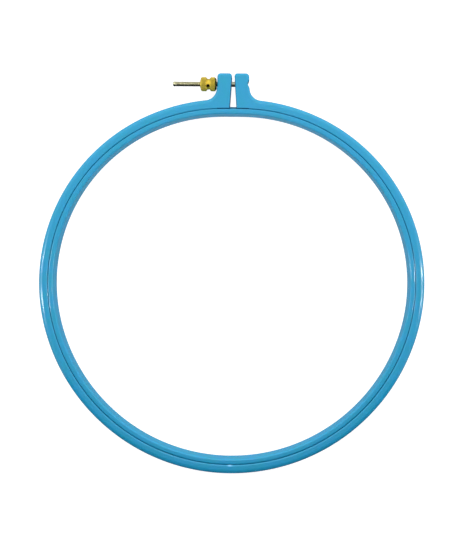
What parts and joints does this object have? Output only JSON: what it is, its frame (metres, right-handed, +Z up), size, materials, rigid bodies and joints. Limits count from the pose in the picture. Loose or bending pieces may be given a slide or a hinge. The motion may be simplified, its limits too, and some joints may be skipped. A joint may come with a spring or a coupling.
{
  "type": "embroidery hoop",
  "caption": "Round plastic embroidery hoop: a lipped inner ring inside a split outer ring that a long headed screw and a knurled brass thumb nut draw closed.",
  "frame": {"origin": "on the plane that the hoop lies on, under the middle of its whole length, lugs included", "axes": "+Z up, along the hoop's axis, from the lipped back to the front; +Y from the middle of the hoop to the clamp lugs; +X along the clamp screw, from the nut to the head"},
  "size_m": [0.2662, 0.2762, 0.0106],
  "materials": {
    "hoop_plastic": "glossy moulded blue plastic",
    "screw_steel": "rolled thread, dull",
    "nut_brass": "turned and knurled"
  },
  "bodies": {
    "inner_ring": {"inner_ring": "hoop_plastic"},
    "outer_ring": {"outer_ring": "hoop_plastic"},
    "clamp_nut": {"clamp_nut": "nut_brass"},
    "clamp_screw": {"clamp_screw": "screw_steel"}
  },
  "joints": [
    {"name": "outer_ring_lift", "type": "slide", "parent": "inner_ring", "child": "outer_ring", "axis": [0, 0, 1], "range_m": [0, 0.03]},
    {"name": "nut_spin", "type": "hinge", "parent": "outer_ring", "child": "clamp_nut", "pos_m": [-0.0174, 0.13105, 0.00585], "axis": [-1, 0, 0], "range_deg": [0, 7920]},
    {"name": "screw_travel", "type": "slide", "parent": "outer_ring", "child": "clamp_screw", "axis": [1, 0, 0], "range_m": [0, 0.01746]}
  ],
  "couplings": [
    {"joint": "nut_spin", "follows": "screw_travel", "rad_per_m": 7913.3}
  ]
}
